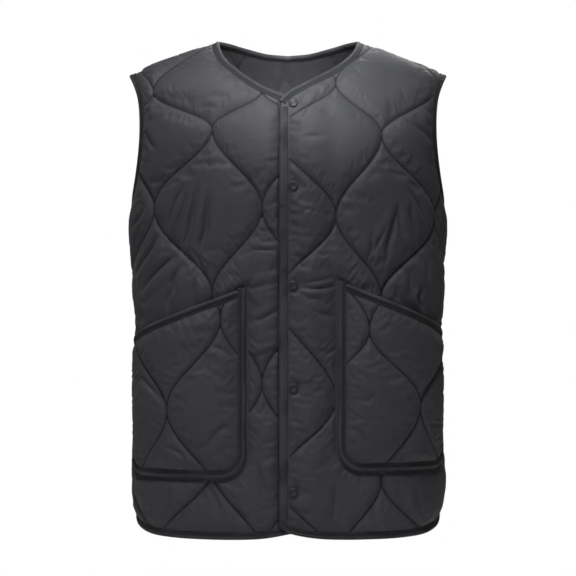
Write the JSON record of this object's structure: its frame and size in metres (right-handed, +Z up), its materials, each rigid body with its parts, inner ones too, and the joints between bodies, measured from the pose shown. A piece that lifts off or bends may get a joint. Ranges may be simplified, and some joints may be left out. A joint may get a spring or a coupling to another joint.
{
  "type": "quilted vest",
  "caption": "Collarless padded vest with wave quilting, a snapped front, two slanted patch pockets and bound edges, worn open at neck, hem and armholes.",
  "frame": {"origin": "midway between the two shoulder points at the neck, on the line where a wearer's shoulders carry the vest, just above the neck points", "axes": "+Z up, the front faces -Y, +X is the wearer's left"},
  "size_m": [0.432, 0.2606, 0.6689],
  "materials": {
    "shell": "silky matte nylon taffeta",
    "binding": "ribbed matte tape",
    "snap": "satin lacquer"
  },
  "bodies": {
    "root": {"front_right": "shell", "front_left": "shell", "back": "shell", "neck_binding": "binding", "hem_binding": "binding", "front_edge_binding_right": "binding", "front_edge_binding_left": "binding", "armhole_binding_right": "binding", "armhole_binding_left": "binding", "pocket_right": "shell", "pocket_left": "shell", "pocket_edge_binding_right": "binding", "pocket_edge_binding_left": "binding", "pocket_top_binding_right": "binding", "pocket_top_binding_left": "binding", "snap_cap_1": "snap", "snap_cap_2": "snap", "snap_cap_3": "snap", "snap_cap_4": "snap", "snap_cap_5": "snap", "snap_stud_1": "snap", "snap_stud_2": "snap", "snap_stud_3": "snap", "snap_stud_4": "snap", "snap_stud_5": "snap", "snap_base_1": "snap", "snap_base_2": "snap", "snap_base_3": "snap", "snap_base_4": "snap", "snap_base_5": "snap"}
  },
  "joints": []
}
